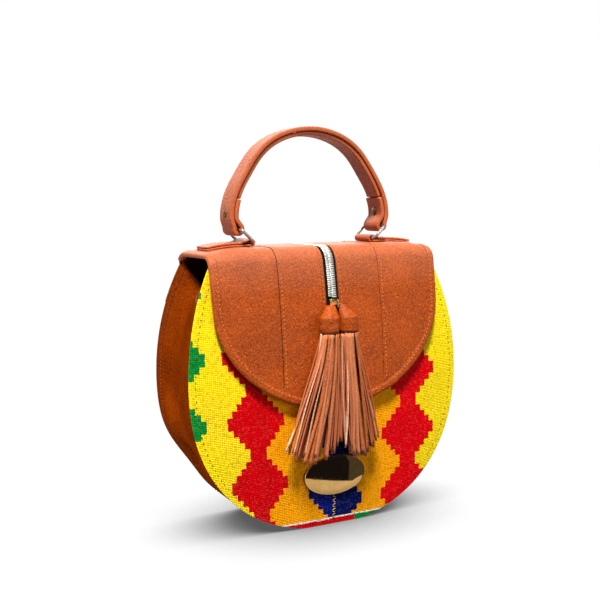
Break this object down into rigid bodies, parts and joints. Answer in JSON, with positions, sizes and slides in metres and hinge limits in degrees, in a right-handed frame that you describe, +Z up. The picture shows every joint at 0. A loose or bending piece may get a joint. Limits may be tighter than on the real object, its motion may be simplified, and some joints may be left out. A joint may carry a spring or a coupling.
{
  "type": "handbag",
  "caption": "Round handbag of woven cloth and leather, with a bound flap, metal zip, leather tassel, oval metal plaque and an arched top handle on wire rings",
  "frame": {"origin": "middle of the flat base, on the surface that the bag stands on", "axes": "+Z up through the handle; the front with tassel and plaque faces -Y; +X is to the right seen from the front"},
  "size_m": [0.224, 0.0937, 0.2984],
  "materials": {
    "cloth": "woven, stepped diamonds in yellow, red, green, blue and orange",
    "leather": "tan, fine pebble grain, semi-gloss",
    "gusset_leather": "dark tan, fine pebble grain, satin",
    "tassel_leather": "tan, cut strips with pale edges",
    "zip_tape": "black twill tape",
    "zip_metal": "bright nickel",
    "plaque_metal": "polished gold tone",
    "ring_metal": "polished nickel",
    "rivet_metal": "antique brass"
  },
  "bodies": {
    "root": {"front_panel": "cloth", "back_panel": "cloth", "gusset": "gusset_leather", "plaque": "plaque_metal", "flap_left_outer": "leather", "flap_left_inner": "leather", "flap_right_inner": "leather", "flap_right_outer": "leather", "flap_binding": "leather", "zip_tape": "zip_tape", "zip_teeth": "zip_metal", "zip_slider": "zip_metal", "tassel_loop": "tassel_leather", "tassel_band_left": "leather", "tassel_band_right": "leather", "tassel_fringe_left": "tassel_leather", "tassel_fringe_right": "tassel_leather", "handle_strap": "leather", "handle_lining": "leather", "tab_left": "leather", "tab_right": "leather", "ring_left": "ring_metal", "ring_right": "ring_metal", "rivet_left": "rivet_metal", "rivet_right": "rivet_metal"}
  },
  "joints": []
}
